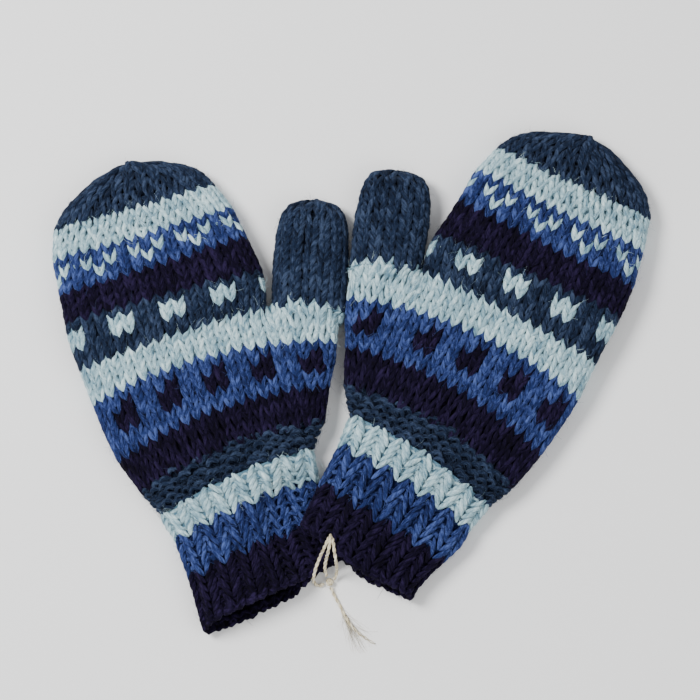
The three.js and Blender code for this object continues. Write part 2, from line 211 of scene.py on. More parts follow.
# v, little-finger edge x y, thumb edge x y, height, crown. BODY goes one row further than in the CAD,
# and the last rows of FINGERS and THUMB stand for its pointed tips.
BODY = np.array([
    [0, -34.5, -8.5, 48, 8, 19, -1.5],
    [27, -35.5, 20, 47.5, 33, 18.5, 1.5],
    [50, -37.5, 43, 47, 56, 18, 2.5],
    [69, -42, 57, 48, 72, 19, 4],
    [86, -50, 73, 58, 86, 21, 7],
    [108, -57.5, 95, 66, 106, 22, 8],
    [124, -61.5, 115, 72, 118, 22, 9],
    [138, -63.5, 131, 76.5, 130, 22.5, 9],
    [150, -64.5, 145, 80, 143, 23, 8],
    [162, -65.5, 159, 83.5, 156, 23.5, 7],
])
FINGERS = np.array([
    [138, -63.5, 131, 40, 137, 22.5, 3],
    [156, -65, 152, 44, 160, 24, 0],
    [166, -66.5, 165, 46, 170, 25, 0],
    [180, -67, 180, 46.5, 181, 25, 0],
    [199, -66.5, 198, 42.5, 204, 24, -2],
    [219, -64.5, 219, 39.5, 223, 22, -2],
    [236, -60, 237, 34, 239, 19.5, -2],
    [248, -52, 248, 29, 249, 17, 0],
    [257, -38.5, 257, 19.5, 257, 14, 1],
    [263, -25.5, 263, 3, 263, 10, 1],
    [266, -12, 265.6, -10, 265.6, 9, 0],
])
THUMB_BASE_Y = 158.0
THUMB_CUT = ((44.0, 162.0), (83.0, 142.0))
# t along the thumb, half width, height
THUMB = np.array([
    [-30, 19, 20],
    [0, 20, 20],
    [22, 20.5, 20],
    [38, 19.8, 19],
    [48, 18, 17.5],
    [54.5, 14, 13.5],
    [57.2, 9, 10],
    [59, 1, 9],
])
STALLS = (("little", 20.0, 12.0), ("ring", 24.0, 13.6), ("middle", 25.0, 13.6), ("index", 24.0, 13.6))
STALLS_START_X = -57.5
STALL_SPACE = 0.7
PRESS_FULL = 21.0
PRESS_END = 38.0
CORNER = (-34.5, -8.5)
CORNER_REACH = 48.0
MOUTH_DEPTH = 20.0
FULLNESS = -0.8         # how far the wool's surface stands outside the CAD's, as a negative inset

SIDES = (
    dict(name="left", mirror=1, lean=15.0, at=(-50.4, -121.4), length=0.96, thumb_x=67.5, thumb_lean=18.0,
         thumb_length=1.0, press=(40.0, 27.0), squeeze=0.55, lift=0.0, draw=(0.0, 0.0), sag=5.5,
         seed=11),
    dict(name="right", mirror=-1, lean=24.0, at=(12.5, -111.1), length=1.04, thumb_x=65.5, thumb_lean=16.0,
         thumb_length=0.9, press=(38.5, 12.5), squeeze=0.4, lift=8.4, draw=(11.0, 6.0), sag=1.5,
         seed=23),
)

TABLE_GAP = 0.02        # the least height of anything over the table
MM = 0.001
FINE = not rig.quick()

# ---- camera ----------------------------------------------------------------------------------------

CAMERA_AIM = Vector((-1.1, 14.5, 8.0)) * MM
CAMERA_HEIGHT_DEG = 80.0
CAMERA_DISTANCE = 1.6
FRAME_WIDTH = 0.390

camera_data = bpy.data.cameras.new("camera")
camera_data.sensor_width = 36.0
camera_data.lens = camera_data.sensor_width * CAMERA_DISTANCE / FRAME_WIDTH
camera_data.clip_start = 0.05
camera = bpy.data.objects.new("camera", camera_data)
bpy.context.scene.collection.objects.link(camera)
height = math.radians(CAMERA_HEIGHT_DEG)
camera.location = CAMERA_AIM + CAMERA_DISTANCE * Vector((0, -math.cos(height), math.sin(height)))
camera.rotation_euler = (CAMERA_AIM - camera.location).to_track_quat("-Z", "Y").to_euler()
bpy.context.scene.camera = camera


# ---- meshes ----------------------------------------------------------------------------------------

def new_mesh(name, verts, quads, yarn, material, slot):
    """A smooth mesh object of quads. yarn holds, for each face corner, how far round and along its yarn
    it is, and a number that is the same all over one stitch."""
    mesh = bpy.data.meshes.new(name)
    count = len(quads)
    mesh.vertices.add(len(verts))
    mesh.vertices.foreach_set("co", np.asarray(verts, np.float32).ravel())
    mesh.loops.add(count * 4)
    mesh.loops.foreach_set("vertex_index", np.asarray(quads, np.int32).ravel())
    mesh.polygons.add(count)
    mesh.polygons.foreach_set("loop_start", np.arange(count, dtype=np.int32) * 4)
    mesh.polygons.foreach_set("use_smooth", np.ones(count, bool))
    mesh.update(calc_edges=True)
    layer = mesh.attributes.new("yarn", "FLOAT_VECTOR", "CORNER")
    layer.data.foreach_set("vector", np.asarray(yarn, np.float32).ravel())
    mesh.validate()
    obj = bpy.data.objects.new(name, mesh)
    bpy.context.scene.collection.objects.link(obj)
    mesh.materials.append(material)
    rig.slot(obj, slot)
    return obj


def tube_quads(count, rings, sides):
    """Faces of count separate tubes, each of rings rings with sides corners."""
    r = np.arange(rings - 1)[:, None] * sides
    j = np.arange(sides)[None, :]
    k = (np.arange(sides) + 1)[None, :] % sides
    one = np.stack([r + j, r + k, r + sides + k, r + sides + j], axis=-1).reshape(-1, 4)
    return (one[None] + (np.arange(count) * rings * sides)[:, None, None]).reshape(-1, 4)


def tube_yarn(count, along, sides, tag):
    """The yarn attribute of those tubes: along is how far along each ring is, tag one number per tube."""
    rings = along.shape[1]
    u = np.arange(sides + 1) / sides
    out = np.zeros((count, rings - 1, sides, 4, 3), np.float32)
    for corner, (du, dv) in enumerate(((0, 0), (1, 0), (1, 1), (0, 1))):
        out[..., corner, 0] = u[du:du + sides][None, None, :]
        out[..., corner, 1] = along[:, dv:rings - 1 + dv, None]
    out[..., 2] = tag[:, None, None, None]
    return out.reshape(-1, 3)


def unit(vectors):
    return vectors / np.maximum(np.linalg.norm(vectors, axis=-1, keepdims=True), 1e-9)


def tubes(centres, normals, radius, flat, sides, tag):
    """Tubes along centres (count, rings, 3), flattened towards the surface's normals."""
    count, rings = centres.shape[:2]
    tangent = unit(np.gradient(centres, axis=1))
    across = unit(np.cross(tangent, normals))
    out = np.cross(across, tangent)
    angle = 2 * np.pi * np.arange(sides) / sides
    ring = centres[:, :, None, :] + radius[:, :, None, None] * (
        np.cos(angle)[None, None, :, None] * across[:, :, None, :]
        + flat * np.sin(angle)[None, None, :, None] * out[:, :, None, :])
    step = np.linalg.norm(np.diff(centres, axis=1), axis=-1)
    along = np.concatenate([np.zeros((count, 1)), np.cumsum(step, axis=1)], axis=1)
    return ring.reshape(-1, 3), tube_quads(count, rings, sides), tube_yarn(count, along, sides, tag)


# ---- surfaces --------------------------------------------------------------------------------------

def signed_power(x, p):
    return np.sign(x) * np.abs(x) ** p


def smooth(k):
    k = np.clip(k, 0, 1)
    return k * k * (3 - 2 * k)


def ring_path(rows, v, angle, length, inset=0.0):
    """Points of the flattened oval at v, for angles measured from the thumb edge over the back."""
    ox, oy, tx, ty, tall, crown = (np.interp(v, rows[:, 0], rows[:, i]) for i in range(1, 7))
    half = math.hypot(tx - ox, ty - oy) / 2
    side = signed_power(np.cos(angle), 2 / SQUARENESS) * (1 - inset / half)
    up = signed_power(np.sin(angle), 2 / SQUARENESS)
    k = 0.5 + 0.5 * side
    x = ox + (tx - ox) * k
    y = oy + (ty - oy) * k + crown * (1 - side * side)
    middle = (tall + SOLE) / 2
    z = np.maximum(inset, middle + up * (middle - inset) - SOLE)
    return np.stack([x, y * length, z], axis=-1)


def even(path, count):
    """count + 1 points at even steps along a path."""
    step = np.linalg.norm(np.diff(path, axis=0), axis=-1)
    along = np.concatenate([[0], np.cumsum(step)])
    want = np.linspace(0, along[-1], count + 1)
    return np.stack([np.interp(want, along, path[:, i]) for i in range(3)], axis=-1), along[-1]


class Chart:
    """A surface that stitches are placed on by v, along the fingers, and q, from 0 to 1 around."""
    COLUMNS = 240

    def __init__(self, v, paths, closed, soften=3, lumps=0.0, seed=0):
        self.v = np.asarray(v, float)
        self.closed = closed
        grid = []
        self.girth = []
        for path in paths:
            points, girth = even(path, self.COLUMNS)
            grid.append(points)
            self.girth.append(girth)
        grid = np.array(grid)
        self.girth = np.array(self.girth)
        for _ in range(soften):
            grid[1:-1] = 0.25 * grid[:-2] + 0.5 * grid[1:-1] + 0.25 * grid[2:]
        self.normals = self._normals(grid)
        if lumps:
            rng = np.random.default_rng(seed)
            q = np.linspace(0, 1, self.COLUMNS + 1)[None, :]
            bumps = np.zeros(grid.shape[:2])
            for _ in range(14):
                turns = rng.integers(1, 7)
                wave = rng.uniform(0.02, 0.12)
                bumps += np.sin(2 * np.pi * (turns * q + rng.random()) + wave * self.v[:, None])
            grid = grid - self.normals * (lumps * (0.5 + 0.18 * bumps).clip(0, 1))[..., None]
        self.grid = grid
        self.normals = self._normals(grid)

    def _normals(self, grid):
        along = np.gradient(grid, axis=0)
        if self.closed:
            ring = grid[:, :-1]
            around = (np.roll(ring, -1, axis=1) - np.roll(ring, 1, axis=1))
            around = np.concatenate([around, around[:, :1]], axis=1)
        else:
            around = np.gradient(grid, axis=1)
        return unit(np.cross(around, along) * self.sign(grid))

    @staticmethod
    def sign(grid):
        """+1 or -1, so that normals point away from the middle."""
        middle = grid.mean(axis=(0, 1))
        around = np.gradient(grid, axis=1)
        along = np.gradient(grid, axis=0)
        normal = np.cross(around, along)
        return 1.0 if (normal * (grid - middle)).sum() > 0 else -1.0

    def place(self, v, q):
        """Interpolated points and normals."""
        rows = np.interp(v, self.v, np.arange(len(self.v)))
        q = np.mod(q, 1.0) if self.closed else np.clip(q, 0, 1)
        columns = q * self.COLUMNS
        r = np.clip(rows.astype(int), 0, len(self.v) - 2)
        c = np.clip(columns.astype(int), 0, self.COLUMNS - 1)
        a, b = (rows - r)[..., None], (columns - c)[..., None]

        def mixed(grid):
            return ((1 - a) * ((1 - b) * grid[r, c] + b * grid[r, c + 1])
                    + a * ((1 - b) * grid[r + 1, c] + b * grid[r + 1, c + 1]))
        return mixed(self.grid), unit(mixed(self.normals))

    def girth_at(self, v):
        return np.interp(v, self.v, self.girth)


GUSSET_X = 46.0
JOIN_HALF = 3.4         # half the width of the stitches over the join of thumb and hand
SPLIT_START = 147.0     # between these the hand parts from the thumb
SPLIT_END = 156.0
ANGLES = np.linspace(0, 2 * np.pi, 721)


def gusset_angle(v):
    """Where the gusset's line crosses the back, as an angle of the section."""
    ox, tx = np.interp(v, BODY[:, 0], BODY[:, 1]), np.interp(v, BODY[:, 0], BODY[:, 3])
    side = (GUSSET_X - ox) / (tx - ox) * 2 - 1
    if side >= 1:
        return 0.0
    return math.acos(side ** (SQUARENESS / 2))


def pressed(points, side):
    x, y, z = points[..., 0], points[..., 1], points[..., 2]
    distance = np.hypot(x - side["press"][0], y - side["press"][1])
    weight = smooth((PRESS_END - distance) / (PRESS_END - PRESS_FULL))
    drawn = smooth(1 - np.hypot(x - CORNER[0], y - CORNER[1]) / CORNER_REACH)
    under = np.clip(1 - z / BODY[0, 5], 0, 1)
    sag = side["sag"] * under * smooth(1 - y / MOUTH_DEPTH) * (1 - weight)
    return np.stack([x + side["draw"][0] * drawn, y + side["draw"][1] * drawn - sag,
                     z * (1 - side["squeeze"] * weight) + side["lift"] * weight], axis=-1)


def thumb_place(side, t, angle, inset=0.0):
    lean = math.radians(side["thumb_lean"])
    half = np.interp(t, THUMB[:, 0], THUMB[:, 1])
    tall = np.interp(t, THUMB[:, 0], THUMB[:, 2])
    s = signed_power(np.cos(angle), 2 / SQUARENESS) * (half - inset)
    up = signed_power(np.sin(angle), 2 / SQUARENESS)
    t = np.where(t > 0, t * side["thumb_length"], t)
    x = side["thumb_x"] + math.sin(lean) * t + math.cos(lean) * s
    y = THUMB_BASE_Y * side["length"] + math.cos(lean) * t - math.sin(lean) * s
    middle = (tall + SOLE) / 2
    return np.stack([x, y, np.maximum(inset, middle + up * (middle - inset) - SOLE)], axis=-1)


def thumb_start(side, angle):
    """How far along the thumb's axis it is picked up, at each angle of its section."""
    (ax, ay), (bx, by) = THUMB_CUT
    normal = np.array([(ay - by) * side["length"], bx - ax])
    flat = thumb_place(side, np.zeros_like(angle), angle)
    lean = math.radians(side["thumb_lean"])
    rise = normal @ np.array([math.sin(lean), math.cos(lean)])
    return ((ax - flat[:, 0]) * normal[0] + (ay * side["length"] - flat[:, 1]) * normal[1]) / rise


def make_charts(side):
    length = side["length"]
    charts = {}
    v = np.linspace(0, RIB_TOP + 3, 49)
    for name, inset in (("cuff", FULLNESS), ("cuff_lining", WALL)):
        charts[name] = Chart(v, [pressed(ring_path(BODY, x, ANGLES, length, inset), side) for x in v], True)

    def main_path(x, inset=FULLNESS):
        start = gusset_angle(x) if x < SPLIT_END else 0.0
        body = ring_path(BODY, min(x, 160), np.linspace(start, 2 * np.pi - start, 721), length, inset)
        if x <= SPLIT_START:
            return body
        k = smooth((x - SPLIT_START) / (SPLIT_END - SPLIT_START))
        return body * (1 - k) + ring_path(FINGERS, x, ANGLES, length, inset) * k

    v = np.linspace(RIB_TOP - 3, TIP_Y, 132)
    charts["main"] = Chart(v, [main_path(x) for x in v], False, lumps=1.2, seed=side["seed"])
    charts["main_lining"] = Chart(v[:-2], [main_path(x, WALL) for x in v[:-2]], False)
    v = np.linspace(148, HAND_TOP_Y, 16)
    charts["lap"] = Chart(v, [ring_path(FINGERS, x, ANGLES, length, LAP) for x in v], True)

    thumb_angles = np.linspace(np.pi, -np.pi, 721)
    starts = thumb_start(side, thumb_angles)
    base = thumb_place(side, starts, thumb_angles, FULLNESS)

    def gusset_path(x):
        start = max(gusset_angle(x), 0.02)
        body = ring_path(BODY, min(x, 160), np.linspace(start, -start, 721), length, FULLNESS)
        return body + (base - body) * smooth((x - SPLIT_START) / (SPLIT_END - SPLIT_START))

    v = np.linspace(RIB_TOP - 1, SPLIT_END, 48)
    charts["gusset"] = Chart(v, [gusset_path(x) for x in v], False)

    def join_path(x):
        """Across the line on the back where the thumb's gusset meets the hand."""
        hand, gusset = main_path(x), gusset_path(x)
        near = np.linalg.norm(hand - hand[0], axis=1).searchsorted(JOIN_HALF)
        far = np.linalg.norm(gusset[:360] - gusset[0], axis=1).searchsorted(JOIN_HALF)
        return np.stack([hand[near], (hand[0] + gusset[0]) / 2, gusset[far]])

    v = np.linspace(136, SPLIT_END, 21)
    charts["join"] = Chart(v, [join_path(x) for x in v], False)
    if charts["join"].normals[..., 2].mean() < 0:
        charts["join"].normals *= -1
    k = np.linspace(-0.1, 1, 56)
    end = THUMB[-1, 0]
    paths = [thumb_place(side, starts + (end - starts) * x, thumb_angles, FULLNESS) for x in k]
    charts["thumb"] = Chart(k, paths, True, lumps=0.8, seed=side["seed"] + 1)

    x = STALLS_START_X
    lowest = STALL_Z - max(tall for _, _, tall in STALLS) / 2
    for name, width, tall in STALLS:
        centre = x + width / 2
        x += width + STALL_SPACE
        for kind, inset in (("", 0.0), ("_lining", STALL_WALL)):
            across = signed_power(np.cos(ANGLES), 2 / SQUARENESS) * (width / 2 - inset)
            z = STALL_Z + signed_power(np.sin(ANGLES), 2 / SQUARENESS) * (tall / 2 - inset)
            paths = []
            steps = np.linspace(0, 1, 16)
            for s in steps:
                y = (HAND_TOP_Y + GAP + (STALL_TOP_Y - HAND_TOP_Y - GAP) * s) * length
                paths.append(np.stack([centre + across, y + STALL_SLANT * s * (z - lowest), z], axis=-1))
            charts["stall_" + name + kind] = Chart(steps, paths, True)
    return charts


def to_world(points, side):
    """From a mitten's own frame, with its length factor already in y, to the pair's, in metres."""
    turn = math.radians(side["lean"]) * side["mirror"]
    x, y = points[..., 0] * side["mirror"], points[..., 1]
    c, s = math.cos(turn), math.sin(turn)
    at_x, at_y = side["at"]
    return np.stack([at_x + x * c - y * s, at_y + x * s + y * c, points[..., 2]], axis=-1) * MM


# ---- wool ------------------------------------------------------------------------------------------

def wool(name, colour, pale, deep, sheen, ply=1.0):
    """Plied, hairy yarn: two plies twist along each stitch, with fibres and uneven dye over them, and painted shade in
    the grooves between the plies.
    """
    material = bpy.data.materials.new(name)
    material.use_nodes = True
    nodes, links = material.node_tree.nodes, material.node_tree.links
    shader = nodes["Principled BSDF"]
    shader.inputs["Roughness"].default_value = 0.92
    shader.inputs["Sheen Weight"].default_value = sheen
    shader.inputs["Sheen Roughness"].default_value = 0.6
    shader.inputs["Specular IOR Level"].default_value = 0.08

    def node(kind, **values):
        made = nodes.new(kind)
        for key, value in values.items():
            setattr(made, key, value)
        return made

    def maths(operation, a, b=None, c=None):
        made = node("ShaderNodeMath", operation=operation)
        for socket, value in zip(made.inputs, (a, b, c)):
            if value is None:
                continue
            if isinstance(value, (int, float)):
                socket.default_value = value
            else:
                links.new(value, socket)
        return made.outputs[0]

    def noise(vector, scale, detail, roughness=0.6):
        made = node("ShaderNodeTexNoise")
        made.inputs["Scale"].default_value = scale
        made.inputs["Detail"].default_value = detail
        made.inputs["Roughness"].default_value = roughness
        links.new(vector, made.inputs["Vector"])
        return made.outputs["Fac"]

    yarn = node("ShaderNodeAttribute", attribute_name="yarn")
    parts = node("ShaderNodeSeparateXYZ")
    links.new(yarn.outputs["Vector"], parts.inputs[0])
    around, along, tag = parts.outputs
    place = node("ShaderNodeTexCoord").outputs["Object"]

    turn = maths("ADD", maths("MULTIPLY", around, 2.0), maths("MULTIPLY", along, 0.2))
    lobe = maths("ABSOLUTE", maths("SINE", maths("MULTIPLY", turn, math.pi)))
    angle = maths("ADD", maths("MULTIPLY", around, 2 * math.pi), maths("MULTIPLY", along, 0.3))
    twisted = node("ShaderNodeCombineXYZ")
    links.new(maths("COSINE", angle), twisted.inputs[0])
    links.new(maths("SINE", angle), twisted.inputs[1])
    links.new(maths("ADD", maths("MULTIPLY", along, 0.16), maths("MULTIPLY", tag, 40.0)), twisted.inputs[2])
    strands = noise(twisted.outputs[0], 1.7, 5.0, 0.65)
    fuzz = noise(place, 1500.0, 5.0, 0.75)
    cloud = noise(place, 140.0, 3.0)

    tone = maths("ADD", maths("MULTIPLY", strands, 0.65), maths("MULTIPLY", fuzz, 0.35))
    tone = maths("ADD", tone, maths("MULTIPLY", maths("SUBTRACT", cloud, 0.5), 0.4))
    # the tag varies each stitch's tone at random, and its low value on the cloth sheet darkens it as painted shade
    tone = maths("ADD", tone, maths("MULTIPLY", maths("SUBTRACT", tag, 0.5), 0.16))
    # painted shade: the tone is darker in the grooves between the two plies, more so with a larger ply
    tone = maths("ADD", tone, maths("MULTIPLY", maths("SUBTRACT", lobe, 0.6), 0.1 * ply))
    ramp = node("ShaderNodeValToRGB")
    ramp.color_ramp.elements[0].position = 0.32
    ramp.color_ramp.elements[0].color = (*deep, 1)
    ramp.color_ramp.elements[1].position = 0.68
    ramp.color_ramp.elements[1].color = (*pale, 1)
    middle = ramp.color_ramp.elements.new(0.5)
    middle.color = (*colour, 1)
    links.new(tone, ramp.inputs[0])
    links.new(ramp.outputs[0], shader.inputs["Base Color"])

    relief = maths("ADD", maths("MULTIPLY", lobe, 0.35 * ply), maths("MULTIPLY", strands, 0.8))
    first = node("ShaderNodeBump")
    first.inputs["Strength"].default_value = 0.8
    first.inputs["Distance"].default_value = 0.0010
    links.new(relief, first.inputs["Height"])
    second = node("ShaderNodeBump")
    second.inputs["Strength"].default_value = 0.55
    second.inputs["Distance"].default_value = 0.0004
    links.new(fuzz, second.inputs["Height"])
    links.new(first.outputs[0], second.inputs["Normal"])
    links.new(second.outputs[0], shader.inputs["Normal"])
    return material


def srgb(*values):
    """Linear colour from 0 to 255 display values."""
    out = []
    for value in values:
        c = value / 255
        out.append(c / 12.92 if c <= 0.04045 else ((c + 0.055) / 1.055) ** 2.4)
    return tuple(out)


MATERIALS = {
    "purple": wool("purple_wool", srgb(13, 7, 29), srgb(37, 28, 60), srgb(4, 2, 11), 0.01),
    "blue": wool("blue_wool", srgb(33, 47, 95), srgb(78, 97, 156), srgb(10, 18, 49), 0.02),
    "pale": wool("pale_blue_wool", srgb(152, 184, 194), srgb(211, 235, 238), srgb(87, 120, 138), 0.02),
    "teal": wool("teal_wool", srgb(23, 35, 57), srgb(59, 73, 99), srgb(7, 14, 28), 0.02),
    "cream": wool("cotton_string", srgb(235, 222, 190), srgb(250, 243, 222), srgb(196, 180, 142), 0.05, 1.6),
}
SLOTS = {
    "purple": "purple_wool", "blue": "blue_wool", "pale": "pale_blue_wool", "teal": "teal_wool",
    "cream": "cotton_string",
}

# ---- the string ------------------------------------------------------------------------------------

# The routes of the CAD's string, in millimetres, from the tie to the knot and from the knot outwards.
STRING = {
    "tie_strand_middle": (
        (-11.7, -90.4, 3.5), (-11.7, -90.4, 9), (-11.7, -90.4, 15),
        (-11.7, -90.6, 19.8), (-11.9, -93.2, 21.6), (-12.4, -96.8, 21.5),
        (-13.2, -100.1, 20.2), (-14.3, -103.6, 14), (-14.9, -107.8, 9.6),
        (-14, -111.2, 5.4),
    ),
    "tie_strand_left": (
        (-12.7, -92.1, 16.2), (-12.7, -92.1, 19.6), (-13.6, -94.2, 21.6),
        (-15.2, -97.4, 20), (-16.9, -100.4, 15.4), (-18.3, -103.4, 12.6),
        (-19.6, -106.8, 11.5), (-20.7, -110.6, 10.2), (-21.3, -113.5, 6.5),
        (-20.2, -115.6, 2.8), (-17.9, -116.4, 1.4), (-15.6, -115.4, 2),
    ),
    "tie_strand_right": (
        (-10.7, -92.1, 16.2), (-10.7, -92.1, 19.6), (-10.3, -94.4, 21.6),
        (-9.8, -98.2, 21.9), (-9.3, -101.6, 21.8), (-8.8, -104.8, 20),
        (-8.4, -107, 11.5), (-8.5, -109.4, 6), (-9, -111.6, 3.4),
        (-10, -112.9, 3.2),
    ),
    "tie_tail": (
        (-11.6, -117.4, 2.1), (-10.5, -120.2, 1.3), (-8.5, -123.9, 0.9),
        (-6.4, -127.8, 0.8), (-4.3, -132.2, 0.8), (-1.3, -137.2, 0.8),
        (3.1, -142, 0.8), (8.3, -145.8, 0.8), (12.7, -148.4, 0.8),
    ),
}
KNOT = (-12.3, -114.4, 2.7)
KNOT_TURNS = 2
KNOT_LOBES = 3
KNOT_REACH = 1.05
KNOT_SWING = 0.5
KNOT_HEIGHT = 0.95
KNOT_SINK = 0.3
KNOT_YARN = 0.7
STRING_DIAMETER = 1.9
PLIES = 2
PLY_RADIUS = 0.58
PLY_OFFSET = 0.38
PLY_PITCH = 6.5
FRAY_START = 0.42         # share of the tail where its plies come apart
TAIL_SPLAY = 0.2
TAIL_UNTWIST = 1.6       # how much longer the twist grows where the tail is all loose
TAIL_THINNING = 0.72     # share of a ply's radius that is gone at the end
FRAYED_FIBRES = 60
FRAY_X = (3.5, 4.4)      # mean and spread of where the fibres end
FRAY_Y = (-153.5, -139.0)
FRAY_Z = (0.1, 1.5)
FRAY_Z_LIMITS = (0.12, 1.6)
FRAY_RADIUS = 0.065
MOSTLY_FLAT = np.array([1, 1, 0.2])


def catmull(points, step):
    """Evenly spaced points on a smooth curve through points."""
    p = np.array(points, float)
    p = np.vstack([2 * p[0] - p[1], p, 2 * p[-1] - p[-2]])
    out = []
    for i in range(1, len(p) - 2):
        for t in np.linspace(0, 1, 16, endpoint=False):
            a, b, c, d = p[i - 1:i + 3]
            out.append(0.5 * (2 * b + (c - a) * t + (2 * a - 5 * b + 4 * c - d) * t * t
                              + (3 * b - a - 3 * c + d) * t ** 3))
    out.append(p[-2])
    out = np.array(out)
    length = np.linalg.norm(np.diff(out, axis=0), axis=1).sum()
    return even(out, max(4, int(length / step)))[0], length


def turning_frame(path):
    """Two directions across a path that don't spin along it."""
    tangent = unit(np.gradient(path, axis=0))
    first = unit(np.cross(tangent[0], (0.3, 0.2, 1.0)))
    side = [first]
    for t in tangent[1:]:
        last = side[-1]
        side.append(unit(last - t * (last @ t)))
    side = np.array(side)
    return side, np.cross(tangent, side)


def plied(path, offset, pitch):
    """Centrelines of the two plies that twist along a path."""
    side, up = turning_frame(path)
    step = np.linalg.norm(np.diff(path, axis=0), axis=1)
    along = np.concatenate([[0], np.cumsum(step)])
    lines = []
    for i in range(PLIES):
        angle = 2 * np.pi * (along / pitch + i / PLIES)
        lines.append(path + offset * (np.cos(angle)[:, None] * side + np.sin(angle)[:, None] * up))
    return np.array(lines)


def lines_mesh(name, lines, radius, sides, colour):
    """One mesh of round threads, all with the same number of points, in the pair's frame in mm."""
    lines = np.asarray(lines, float)
    count, rings = lines.shape[:2]
    normals = np.broadcast_to(np.array([0.31, 0.22, 0.92]), lines.shape)
    verts, quads, yarn = tubes(lines, normals, np.broadcast_to(radius, (count, rings)), 1.0, sides,
                               np.linspace(0.2, 0.8, count))
    verts[:, 2] = np.maximum(verts[:, 2], TABLE_GAP)
    return new_mesh(name, verts * MM, quads, yarn, MATERIALS[colour], SLOTS[colour])


def make_string():
    rng = np.random.default_rng(5)
    cords = []
    for name, route in STRING.items():
        path, length = catmull(route, 0.5)
        loose = np.zeros(len(path))
        if name == "tie_tail":
            loose = smooth((np.linspace(0, 1, len(path)) - FRAY_START) / (1 - FRAY_START))
            tail = path
        offset = (PLY_OFFSET + TAIL_SPLAY * loose)[:, None]
        lines = plied(path, offset, PLY_PITCH * TAIL_UNTWIST ** loose.mean())
        made = lines_mesh(name + "_yarn", lines, PLY_RADIUS * (1 - TAIL_THINNING * loose), 7, "cream")
        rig.replaces(made, name)
        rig.ride(made, "left_mitten")
        cords.append((made, name, path, length))
    knot_lines = []
    t = np.linspace(0, 1, 90)
    for k in range(2):
        angle = 2 * np.pi * KNOT_TURNS * t + k * np.pi
        wind = KNOT_LOBES * angle / KNOT_TURNS + k
        reach = KNOT_REACH + KNOT_SWING * np.cos(wind)
        ball = np.stack([np.cos(angle) * reach, np.sin(angle) * reach, KNOT_HEIGHT * np.sin(wind)], axis=-1)
        knot_lines.append(ball + np.array(KNOT) - (0, 0, KNOT_SINK))
    knot = lines_mesh("tie_knot_yarn", knot_lines, KNOT_YARN, 8, "cream")
    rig.replaces(knot, "tie_knot")
    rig.ride(knot, "left_mitten")
    frayed = []
    t = np.linspace(0, 1, 9)[:, None]
    for _ in range(FRAYED_FIBRES):
        start = tail[int(len(tail) * rng.uniform(FRAY_START - 0.14, FRAY_START + 0.2))]
        end = np.array([rng.normal(*FRAY_X), rng.uniform(*FRAY_Y), rng.uniform(*FRAY_Z)])
        bow = start + (end - start) * 0.5 + rng.normal(0, 1.8, 3) * MOSTLY_FLAT
        line = start * (1 - t) ** 2 + 2 * bow * t * (1 - t) + end * t ** 2
        line = line + np.sin(t * rng.uniform(3, 8)) * rng.normal(0, 0.35, 3) * MOSTLY_FLAT
        line[:, 2] = np.clip(line[:, 2], *FRAY_Z_LIMITS)
        frayed.append(line)
    tuft = lines_mesh("tie_tail_frayed_end", frayed, FRAY_RADIUS * (1.1 - 0.7 * t[:, 0]), 4, "cream")
    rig.ride(tuft, "left_mitten")
    for made, name, path, length in cords:
        far = "bare" if name == "tie_tail" else "knot"
        pieces = {"tie_tail": [tuft], "tie_strand_middle": [knot]}.get(name, [])
        route = [tuple(p * MM) for p in path]
        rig.cord(made, exit=route[0], length=length * MM, diameter=STRING_DIAMETER * MM, far_end=far,
                stiffness="limp", lay="loose", path=route, with_pieces=pieces)


make_string()

# ---- stitches --------------------------------------------------------------------------------------

# Each leg of a stitch: across (share of the stitch's width), along (share of the row's height),
# out from the surface (mm) and share of the yarn's radius. It starts behind the stitch below.
KNIT_LEG = np.array([
    [0.05, -0.62, -1.9, 0.45],
    [0.10, -0.40, -1.15, 0.80],
    [0.16, -0.10, -0.95, 1.00],
    [0.23, 0.25, -1.0, 1.00],
    [0.30, 0.62, -1.2, 0.98],
    [0.37, 0.96, -1.6, 0.85],
    [0.42, 1.22, -2.3, 0.60],
])
# The bump of a purl stitch, one arch across the whole stitch.
PURL_ARCH = np.array([
    [-0.56, 0.18, -2.6, 0.7],
    [-0.36, 0.42, -1.9, 1.0],
    [-0.12, 0.62, -1.55, 1.05],
    [0.12, 0.62, -1.55, 1.05],
    [0.36, 0.42, -1.9, 1.0],
    [0.56, 0.18, -2.6, 0.7],
])
# The same nearer the surface, for the purl band at the wrist.
FUZZY_ARCH = np.array([
    [-0.50, 0.05, -2.2, 0.7],
    [-0.32, 0.30, -1.3, 1.0],
    [-0.10, 0.55, -0.9, 1.05],
    [0.10, 0.55, -0.9, 1.05],
    [0.32, 0.30, -1.3, 1.0],
    [0.50, 0.05, -2.2, 0.7],
])
# An edge stitch, which wraps over a rim from the outside to the inside.
RIM_WRAP = np.array([
    [-0.42, -0.50, -1.0, 0.7],
    [-0.28, -0.12, -0.75, 1.0],
    [0.0, 0.16, -1.5, 1.1],
    [0.28, 0.02, -2.4, 1.0],
    [0.42, -0.36, -2.6, 0.7],
])
RIM_DOWN = RIM_WRAP * np.array([1, -1, 1, 1])
YARN_SHARE = 0.207      # radius of the yarn as a share of a stitch's width
YARN_FLAT = 0.8
CLOTH_DEPTH = 2.6       # of the sheet behind the stitches
CLOTH_SHADE_TAG = -1.6        # its tag, which paints the sheet dark: painted shade in the gaps between the stitches
FIBRES = 5              # along each leg of a stitch
FIBRE_STEPS = 3
DRAWN_STRANDS = 5        # across each tip
DRAWN_RADIUS = 0.95
TIP_STEP = {"main": 4.0, "thumb": 0.05}     # down from each tip, for its direction
HAIRS = 9.0              # stray ones, for each stitch
WRIST_HAIRS = 26.0       # in the purl band at the wrist
# The inside of the cloth is the back of the same stitches: arches that bulge inwards.
LINING_YARN = 0.19
LINING = PURL_ARCH.copy()
LINING[:, 2] = -0.75 * PURL_ARCH[:, 2] - 0.65


